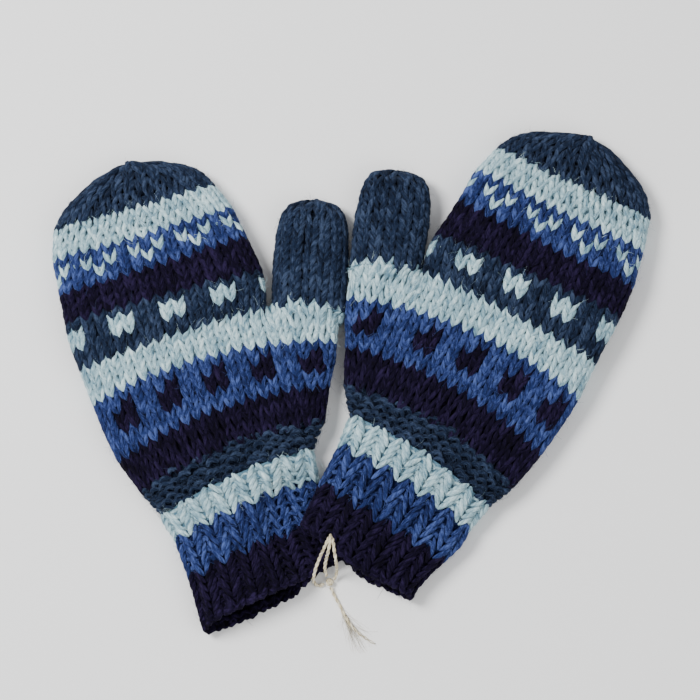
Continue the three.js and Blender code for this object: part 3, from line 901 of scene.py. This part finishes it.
class Knit:
    """Gathers the stitches of one mitten, by piece and colour."""

    def __init__(self, side, charts):
        self.side = side
        self.charts = charts
        self.parts = {}
        self.rng = np.random.default_rng(side["seed"])

    def add(self, key, verts, quads, yarn):
        self.parts.setdefault(key, []).append((verts, quads, yarn))

    def spindles(self, key, chart, q, wq, v, hv, shape, mirrored, sides, size, lift=0.0, fibres=0, loose=1.0):
        """Yarn along shape at every stitch (q, v), whose cell is wq by hv; loose makes them less even."""
        if len(q) == 0:
            return
        chart = self.charts[chart]
        rng = self.rng
        for sign in ((-1, 1) if mirrored else (1,)):
            across, along, out, share = shape.T
            jitter = rng.normal(0, 0.028 * loose, (len(q), 1))
            qq = q[:, None] + wq[:, None] * (sign * across[None] + jitter)
            vv = v[:, None] + hv[:, None] * (along[None] + rng.normal(0, 0.05 * loose, (len(q), 1)))
            points, normals = chart.place(vv, qq)
            centres = points + normals * (out[None] + np.reshape(lift, (-1, 1)))[..., None]
            width = wq * chart.girth_at(v)
            radius = (width * size * rng.normal(1, 0.09, len(q)).clip(0.75, 1.25))[:, None] * share[None]
            self.add(key, *tubes(centres, normals, radius, YARN_FLAT, sides, rng.random(len(q))))
            if fibres:
                self.fibres(key, centres, normals, radius, fibres)

    def fibres(self, key, centres, normals, radius, each):
        """Fine ribbons that run along the yarn and lift off it a little, so that it looks spun."""
        rng = self.rng
        count, rings = centres.shape[:2]
        tangent = unit(np.gradient(centres, axis=1))
        across = unit(np.cross(tangent, normals))
        out = np.cross(across, tangent)
        pick = np.repeat(np.arange(count), each)
        total = len(pick)
        t = np.linspace(0, 1, FIBRE_STEPS + 1)[None]
        first = rng.uniform(0.3, 0.5 * (rings - 1), (total, 1))
        reach = rng.uniform(0.3, 0.5, (total, 1)) * (rings - 1)
        at = np.clip(first + reach * t, 0, rings - 1.001)
        low, part = at.astype(int), (at % 1)[..., None]

        def along(values):
            return values[pick[:, None], low] * (1 - part) + values[pick[:, None], low + 1] * part
        angle = rng.uniform(-0.1, 1.1, (total, 1)) * np.pi + rng.normal(0, 0.45, (total, 1)) * t
        lift = rng.uniform(0.0, 0.10, (total, 1)) + rng.gamma(1.2, 0.22, (total, 1)) * t ** 2
        size = along(radius[..., None])[..., 0] + lift
        line = (along(centres) + along(across) * (np.cos(angle) * size)[..., None]
                + along(out) * (np.sin(angle) * size * YARN_FLAT)[..., None])
        sway = rng.normal(0, 0.2, (total, 1, 1)) * t[..., None] ** 2
        line = line + along(across) * sway
        thick = rng.uniform(0.045, 0.10, (total, 1, 1)) * (1.05 - t[..., None] ** 2)
        away = along(out) * np.sin(angle)[..., None] + along(across) * np.cos(angle)[..., None]
        wide = unit(np.cross(np.gradient(line, axis=1), away)) * thick
        self.ribbons(key, line, wide, rng.uniform(-0.8, 2.0, total))

    def ribbons(self, key, line, wide, tag):
        """Flat strips along lines, each as wide as its vectors say."""
        count, points = line.shape[:2]
        verts = np.stack([line - wide, line + wide], axis=2).reshape(-1, 3)
        step = np.arange(points - 1)[:, None] * 2 + np.array([0, 1, 3, 2])[None]
        quads = (step[None] + (np.arange(count) * points * 2)[:, None, None]).reshape(-1, 4)
        yarn = np.zeros((count, (points - 1) * 4, 3), np.float32)
        yarn[:, :, 0] = 0.25
        yarn[:, :, 2] = tag[:, None]
        self.add(key, verts, quads, yarn.reshape(-1, 3))

    def sheet(self, key, chart, q, wq, v, hv, lift=0.0):
        """The cloth behind the stitches, one patch per stitch, so that no light comes through. Its tag paints it dark,
        as painted shade in the gaps between the stitches.
        """
        if len(q) == 0:
            return
        corners_q = q[:, None] + wq[:, None] * np.array([-0.5, 0.0, 0.5, -0.5, 0.0, 0.5])
        corners_v = v[:, None] + hv[:, None] * np.array([0, 0, 0, 1.0, 1.0, 1.0])
        points, normals = self.charts[chart].place(corners_v, corners_q)
        verts = (points - normals * (CLOTH_DEPTH - np.reshape(lift, (-1, 1, 1)))).reshape(-1, 3)
        one = np.array([[0, 1, 4, 3], [1, 2, 5, 4]])
        quads = (one[None] + (np.arange(len(q)) * 6)[:, None, None]).reshape(-1, 4)
        # painted shade: the tag darkens every patch of the sheet, standing for the shadow in the gaps between stitches
        yarn = np.tile(np.array([[0.5, 0.0, CLOTH_SHADE_TAG]]), (len(quads) * 4, 1))
        self.add(key, verts, quads, yarn)

    def stitches(self, key, chart, q, wq, v, hv, sides=8, lift=0.0, size=YARN_SHARE, spread=1.0, fibres=0):
        shape = KNIT_LEG * np.array([spread, 1, 1, 1])
        self.spindles(key, chart, q, wq, v, hv, shape, True, sides, size, lift, fibres=fibres)
        self.sheet(key, chart, q, wq, v, hv, lift)

    def hairs(self, key, chart, q, wq, v, hv, each):
        """Loose fibres that stand off the stitches, thin curved ribbons."""
        rng = self.rng
        count = int(each * len(q) * (1.0 if FINE else 0.4))
        if count == 0 or len(q) == 0:
            return
        pick = rng.integers(0, len(q), count)
        root_q = q[pick] + wq[pick] * rng.uniform(-0.5, 0.5, count)
        root_v = v[pick] + hv[pick] * rng.uniform(0, 1, count)
        points, normals = self.charts[chart].place(root_v, root_q)
        way = unit(np.cross(normals, rng.normal(size=(count, 3))))
        curl = unit(np.cross(normals, way))
        reach = rng.gamma(3.0, 1.0, count).clip(1.2, 8.0)
        rise = rng.uniform(0.15, 1.0, count) * np.minimum(reach * 0.5, 2.6)
        bend = rng.normal(0, 0.35, count) * reach
        t = np.linspace(0, 1, 4)
        line = (points[:, None] + normals[:, None] * (-0.7 + rise[:, None] * np.sin(t * 2.2)[None])[..., None]
                + way[:, None] * (reach[:, None] * t[None])[..., None]
                + curl[:, None] * (bend[:, None] * t[None] ** 2)[..., None])
        line[..., 2] = np.maximum(line[..., 2], 0.08)
        thick = (rng.uniform(0.035, 0.075, count)[:, None] * (1 - 0.6 * t)[None])[..., None]
        across = unit(np.cross(np.gradient(line, axis=1), rng.normal(size=(count, 1, 3))))
        self.ribbons(key, line, across * thick, rng.uniform(0.3, 1.7, count))

    def drawn_together(self, key, chart, v):
        """Strands from each side of a tip to the other, across the ring at v."""
        around = (np.arange(2 * DRAWN_STRANDS) + 0.5) / (2 * DRAWN_STRANDS)
        ring, _ = self.charts[chart].place(np.full(len(around), v), around)
        below, _ = self.charts[chart].place(np.full(len(around), v - TIP_STEP[chart]), around)
        middle = ring.mean(axis=0)
        outward = unit(middle - below.mean(axis=0))
        near, far = ring[:DRAWN_STRANDS, None], ring[DRAWN_STRANDS:, None]
        t = np.linspace(0, 1, 7)[None, :, None]
        bulge = 4 * t * (1 - t)
        rise = self.rng.uniform(-0.3, 0.25, (DRAWN_STRANDS, 1, 1))
        crown = bulge * (DRAWN_RADIUS * 0.8 + rise) - DRAWN_RADIUS * 1.2
        line = near * (1 - t) + far * t + outward * crown
        line = line + self.rng.normal(0, 0.2, (DRAWN_STRANDS, 1, 3)) * bulge
        normals = np.broadcast_to(outward, line.shape)
        radius = np.full(line.shape[:2], DRAWN_RADIUS)
        self.add(key, *tubes(line, normals, radius, YARN_FLAT, 7, self.rng.random(DRAWN_STRANDS)))
        self.fibres(key, line, normals, radius, FIBRES)

    def finish(self):
        """Makes one object for each piece and colour."""
        made = {}
        for (part, colour), chunks in self.parts.items():
            verts, quads, yarn, start = [], [], [], 0
            for v, f, y in chunks:
                verts.append(v)
                quads.append(f + start)
                yarn.append(y)
                start += len(v)
            quads = np.concatenate(quads)
            yarn = np.concatenate(yarn)
            if self.side["mirror"] > 0:
                quads = quads[:, ::-1]
                yarn = yarn.reshape(-1, 4, 3)[:, ::-1].reshape(-1, 3)
            name = f"{self.side['name']}_{part}_{colour}"
            verts = np.concatenate(verts)
            verts[:, 2] = np.maximum(verts[:, 2], TABLE_GAP)
            world = to_world(verts, self.side)
            made[part, colour] = new_mesh(name, world, quads, yarn, MATERIALS[colour], SLOTS[colour])
        return made


# Colour bands of the hand and flap: from, to, rows and name.
BANDS = (
    (69, 86, 3, "teal"),
    (86, 108, 4, "purple"),
    (108, 138, 6, "checks"),
    (138, 156, 4, "pale"),
    (156, 180, 5, "blocks"),
    (180, 199, 4, "purple"),
    (199, 219, 4, "birds"),
    (219, 236.5, 4, "pale"),
    (236.5, 266, 6, "teal"),
)
WRIST_TOP = 86
WRIST_STITCHES = 30
LOW_PALM_TOP = 97
LOW_PALM_STITCHES = 32
MAIN_STITCHES = 34
CAP_START = 219         # from here on as many as fit
CAP_STITCH = 7.0        # the width of a stitch
GUSSET_STITCH = 7.1
THUMB_STITCH = 7.2
STALL_STITCH = 6.9
COLOURS = ("purple", "blue", "pale", "teal")
# The cuff's bands: from, to, rows and colour.
CUFF_BANDS = (
    (0, 27, 6, "purple"),
    (27, 50, 4, "blue"),
    (50, RIB_TOP, 4, "pale"),
)
CUFF_STITCHES = 28
RIB_WIDTH = 1.8         # of a knit column, in columns
RIB_YARN = 0.122
RIB_SINK = -0.9         # of a purl column
RIM_STITCHES = 34
LAP_STITCHES = 32
LAP_ROWS = (157.5, 162.5)
LAP_ROW = 5.0           # the height of those rows
LAP_TOP_Z = 19          # they stop below this height, so that they clear the fold
RIM_TOP_Z = 21          # and the flap's rim below this one
FOLD_Z = 17             # the fold's strip is above this
FOLD_REACH = 5.5        # half the width of the strip that bends
UNDERSIDE_Z = 9         # stitches below this get fewer faces
LAST_ROW = 262
THUMB_ROW = 5.0
STALL_ROWS = 4
STALL_HAIRS = 1.5
# The line across the thumb where pale gives way to teal: its slope, and y at x = 0.
THUMB_PALE_TO = (-12 / 39, 162 + 44 * 12 / 39)
JOIN_ROWS = (142.5, 147.0, 151.5)
JOIN_ROW = 4.5          # the height of those rows
LINED_TO = 250
# Where each motif starts in its repeat of four stitches.
PATTERN = {"left": {"checks": 3, "blocks": 1, "birds": 1}, "right": {"checks": 2, "blocks": 1, "birds": 2}}
GUSSET_PATTERN = 3


def colour_of(side, band, row, column, start=None):
    """The colour of each stitch of a row."""
    if start is None:
        start = PATTERN[side["name"]].get(band, 0)
    repeat = (column + start) % 4
    plain = {"checks": "blue", "blocks": "teal", "birds": "blue"}.get(band, band)
    colours = np.full(len(column), plain, dtype=object)
    if band == "checks":
        if row in (2, 3):
            colours[repeat < 2] = "purple"
        if row == 4:
            colours[repeat == (0 if side["mirror"] > 0 else 1)] = "purple"
    if band == "blocks" and row in (2, 3):
        colours[repeat < 2] = "pale"
    if band == "birds" and row == 1:
        colours[repeat == 1] = "pale"
    if band == "birds" and row == 2:
        colours[(repeat == 0) | (repeat == 2)] = "pale"
    return colours


def knit_rows(side, charts):
    """The rows of the hand and flap: chart, v, height, and each stitch's q, width and colour."""
    for v0, v1, rows, band in BANDS:
        high = (v1 - v0) / rows
        for row in range(rows):
            v = v0 + row * high
            girth = charts["main"].girth_at(v + high / 2)
            count = MAIN_STITCHES
            if v < WRIST_TOP:
                count = WRIST_STITCHES
            elif v < LOW_PALM_TOP:
                count = LOW_PALM_STITCHES
            elif v > CAP_START:
                count = max(6, min(MAIN_STITCHES, int(round(girth / CAP_STITCH))))
            yield "main", v, high, *ring_of(count), colour_of(side, band, row, np.arange(count))
            if v < SPLIT_END:
                girth = charts["gusset"].girth_at(v + high / 2)
                count = max(1, int(round(girth / GUSSET_STITCH)))
                colours = colour_of(side, band, row, -1 - np.arange(count), GUSSET_PATTERN)
                yield "gusset", v, high, *ring_of(count), colours


def ring_of(count):
    """The middles and widths of count stitches that go once round."""
    return (np.arange(count) + 0.5) / count, np.full(count, 1 / count)


def mouth_y(z, length):
    """How far along the flap's slanting mouth is at a height."""
    return (HINGE_Y - (HINGE_Z - z) * (HINGE_Y - PALM_RIM_Y) / HINGE_Z) * length


def make_mitten(side):
    charts = make_charts(side)
    knit = Knit(side, charts)
    length = side["length"]

    # the ribbed cuff: every other column is a purl column, sunk between the knit ones
    every, wide = ring_of(CUFF_STITCHES)
    every = every - 0.5 * wide
    for v0, v1, rows, colour in CUFF_BANDS:
        high = (v1 - v0) / rows
        for row in range(rows):
            all_v, all_high = np.full(CUFF_STITCHES, v0 + row * high), np.full(CUFF_STITCHES, high)
            v, hv, wq = all_v[::2], all_high[::2], wide[::2]
            q = every[::2] + 0.25 * wq
            key = ("cuff", colour)
            knit.stitches(key, "cuff", q, wq * RIB_WIDTH, v, hv, lift=0.1, size=RIB_YARN, spread=1.1,
                          fibres=FIBRES)
            knit.spindles(key, "cuff", q + wq, wq * 0.6, v, hv, PURL_ARCH, False, 6, 0.3, RIB_SINK)
            knit.sheet(key, "cuff", q + wq, wq, v, hv)
            knit.spindles(key, "cuff_lining", every, wide, all_v, all_high, LINING, False, 6, LINING_YARN)
            knit.hairs(key, "cuff", every, wide, all_v, all_high, HAIRS)
    knit.spindles(("cuff", "purple"), "cuff", every, wide * 1.15, np.full(CUFF_STITCHES, 0.9),
                  np.full(CUFF_STITCHES, 4.6), RIM_DOWN, False, 7, 0.235)

    # the hand and the flap, split at the flap's mouth, with a strip at the fold that bends
    for chart, v, high, q, wq, colours in knit_rows(side, charts):
        vv, hv = np.full(len(q), v), np.full(len(q), high)
        middle, _ = charts[chart].place(vv + hv / 2, q)
        main = chart == "main"
        on_flap = (middle[:, 1] > mouth_y(middle[:, 2], length)) & main
        near = (np.abs(v + high / 2 - HINGE_Y) < high) & (middle[:, 2] > FOLD_Z) & main
        for part, chosen in (("hand", ~on_flap & ~near), ("flap", on_flap & ~near), ("fold", near)):
            for colour in COLOURS:
                use = chosen & (colours == colour)
                if not use.any():
                    continue
                key = (part, colour)
                at_q, at_wq, at_v, at_hv = cells = q[use], wq[use], vv[use], hv[use]
                if v < WRIST_TOP:
                    for half in (0.0, 0.5):
                        lift = knit.rng.normal(0, 0.3, use.sum())
                        bump_q, bump_v = at_q + half * at_wq, at_v + half * at_hv
                        knit.spindles(key, chart, bump_q, at_wq, bump_v, at_hv * 0.8, FUZZY_ARCH, False, 7,
                                      0.2, lift, 3 * FIBRES, 4.0)
                    knit.sheet(key, chart, *cells)
                else:
                    under = middle[use, 2].mean() < UNDERSIDE_Z
                    short = 0.8 if v > LAST_ROW else 1
                    knit.stitches(key, chart, at_q, at_wq, at_v, at_hv * short, sides=6 if under else 8,
                                  fibres=FIBRES)
                knit.hairs(key, chart, *cells, WRIST_HAIRS if v < WRIST_TOP else HAIRS)
                if part != "hand" and v < LINED_TO:
                    knit.spindles(key, "main_lining", *cells, LINING, False, 6, LINING_YARN)

    # the flap's rim, a bound-off edge round its mouth
    q, wq = ring_of(RIM_STITCHES)
    tries = np.linspace(160, 181, 85)
    rim_v = np.zeros(RIM_STITCHES)
    for i in range(RIM_STITCHES):
        points, _ = charts["main"].place(tries, np.full(len(tries), q[i]))
        over = points[:, 1] - mouth_y(points[:, 2], length)
        rim_v[i] = tries[np.argmin(np.abs(over))]
    low, _ = charts["main"].place(rim_v, q)
    use = low[:, 2] < RIM_TOP_Z
    knit.spindles(("flap", "teal"), "main", q[use], 1.1 * wq[use], rim_v[use] + 1.2, np.full(use.sum(), 4.4),
                  RIM_DOWN, False, 7, 0.21)

    # the hand's rim inside the flap
    q, wq = ring_of(LAP_STITCHES)
    hv = np.full(LAP_STITCHES, LAP_ROW)
    for v in LAP_ROWS:
        vv = np.full(LAP_STITCHES, v)
        middle, _ = charts["lap"].place(vv + hv, q)
        use = middle[:, 2] < LAP_TOP_Z
        knit.stitches(("lap", "teal"), "lap", q[use], wq[use], vv[use], hv[use], sides=6)
    knit.spindles(("lap", "teal"), "lap", q, 1.1 * wq, np.full(LAP_STITCHES, 167.0),
                  np.full(LAP_STITCHES, 4.0), RIM_WRAP, False, 6, 0.2)

    # the thumb
    start = float(thumb_start(side, np.array([0.0, np.pi])).mean())
    rows = int(round((THUMB[-1, 0] * side["thumb_length"] - start) / THUMB_ROW))
    for row in range(rows):
        k = row / rows
        high = 1 / rows
        girth = charts["thumb"].girth_at(k + high / 2)
        count = max(5, min(14, int(round(girth / THUMB_STITCH))))
        q, wq = ring_of(count)
        vv, hv = np.full(count, k), np.full(count, high)
        middle, _ = charts["thumb"].place(vv + hv * 0.5, q)
        pale = middle[:, 1] < np.polyval(THUMB_PALE_TO, middle[:, 0]) * length
        short = 0.8 if row == rows - 1 else 1
        for colour, use in (("pale", pale), ("teal", ~pale)):
            key = ("thumb", colour)
            knit.stitches(key, "thumb", q[use], wq[use], vv[use], hv[use] * short, fibres=FIBRES)
            knit.hairs(key, "thumb", q[use], wq[use], vv[use], hv[use], HAIRS)

    # pale stitches that carry on from the hand to the thumb
    for v in JOIN_ROWS:
        cell = (np.array([value]) for value in (0.5, 0.95, v, JOIN_ROW))
        knit.stitches(("hand", "pale"), "join", *cell, lift=0.4, fibres=FIBRES)

    # the last stitches are drawn together at the two tips, by strands that cross over the hole
    for part, chart, v in (("flap", "main", TIP_Y - 1.5), ("thumb", "thumb", 0.975)):
        knit.drawn_together((part, "teal"), chart, v)

    # the half-finger stalls
    for name, _, _ in STALLS:
        stall = "stall_" + name
        count = int(round(charts[stall].girth_at(0.5) / STALL_STITCH))
        q, wq = ring_of(count)
        key = (stall, "blue")
        hv = np.full(count, 1 / STALL_ROWS)
        for row in range(STALL_ROWS):
            vv = np.full(count, row / STALL_ROWS)
            knit.stitches(key, stall, q, wq, vv, hv, sides=6, lift=0.4)
            knit.spindles(key, stall + "_lining", q, wq, vv, hv, LINING, False, 6, 0.17)
            knit.hairs(key, stall, q, wq, vv, hv, STALL_HAIRS)
        knit.spindles(key, stall, q, wq * 1.1, np.full(count, 0.97), np.full(count, 0.2), RIM_WRAP, False,
                      6, 0.2)

    made = knit.finish()

    # each piece rides on its body, and most stand for a CAD node
    name = side["name"]
    turn = math.radians(side["lean"]) * side["mirror"]
    forward = Vector((-math.sin(turn), math.cos(turn), 0)) * FOLD_REACH * MM
    hinge = Vector(to_world(np.array([0.0, HINGE_Y * length, HINGE_Z]), side))
    for (part, _), obj in made.items():
        if part == "fold":
            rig.blend(obj, name + "_mitten", name + "_flap", start=hinge - forward, end=hinge + forward)
            continue
        if part != "lap":
            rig.replaces(obj, f"{name}_{part}")
        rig.ride(obj, name + ("_flap" if part == "flap" else "_mitten"))


for side in SIDES:
    make_mitten(side)

# the joining stitches inside the back, a two-ply bead
for side in SIDES:
    row = [np.interp(HINGE_Y - SEAM_BACK, FINGERS[:, 0], FINGERS[:, i]) for i in range(1, 6)]
    inset = WALL + GAP + SEAM_RADIUS
    half_width = (row[2] - row[0]) / 2
    share = SEAM_HALF * np.linspace(-1, 1, 41)
    k = 0.5 + 0.5 * share * (1 - inset / half_width)
    up = (1 - np.abs(share) ** SQUARENESS) ** (1 / SQUARENESS)
    middle = (row[4] + SOLE) / 2
    bead = np.stack([row[0] + (row[2] - row[0]) * k, (row[1] + (row[3] - row[1]) * k) * side["length"],
                     middle + up * (middle - inset) - SOLE - GAP], axis=-1)
    bead = to_world(even(bead, 160)[0], side) / MM
    strands = plied(bead, SEAM_OFFSET, SEAM_PITCH)
    seam = lines_mesh(side["name"] + "_flap_seam_stitches", strands, SEAM_YARN, 7, "teal")
    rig.replaces(seam, side["name"] + "_flap_seam")
    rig.ride(seam, side["name"] + "_mitten")

# ---- floor and light -------------------------------------------------------------------------------

floor_mesh = bpy.data.meshes.new("floor")
floor_mesh.from_pydata([(-3, -3, 0), (3, -3, 0), (3, 3, 0), (-3, 3, 0)], [], [(0, 1, 2, 3)])
floor = bpy.data.objects.new("floor", floor_mesh)
bpy.context.scene.collection.objects.link(floor)
paint = bpy.data.materials.new("floor")
paint.use_nodes = True
paint.node_tree.nodes["Principled BSDF"].inputs["Base Color"].default_value = (0.975, 0.975, 0.97, 1)
paint.node_tree.nodes["Principled BSDF"].inputs["Roughness"].default_value = 0.9
floor_mesh.materials.append(paint)
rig.stage(floor)


def lamp(name, place, aim, size, power):
    data = bpy.data.lights.new(name, "AREA")
    data.shape = "DISK"
    data.size = size
    data.energy = power
    made = bpy.data.objects.new(name, data)
    made.location = place
    made.rotation_euler = (Vector(aim) - Vector(place)).to_track_quat("-Z", "Y").to_euler()
    bpy.context.scene.collection.objects.link(made)


lamp("key", (-0.9, 0.35, 1.3), (0, 0, 0), 0.7, 32)
lamp("fill", (0.9, -0.7, 1.2), (0, 0, 0), 1.4, 10)

world = bpy.data.worlds.new("world")
world.use_nodes = True
world.node_tree.nodes["Background"].inputs["Color"].default_value = (0.97, 0.98, 1.0, 1)
world.node_tree.nodes["Background"].inputs["Strength"].default_value = 0.62
bpy.context.scene.world = world

sizes = {"cad": [list(c) for c in cad_box], "visual": [list(c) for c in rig.bounds()]}
json.dump(sizes, open("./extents.json", "w"))
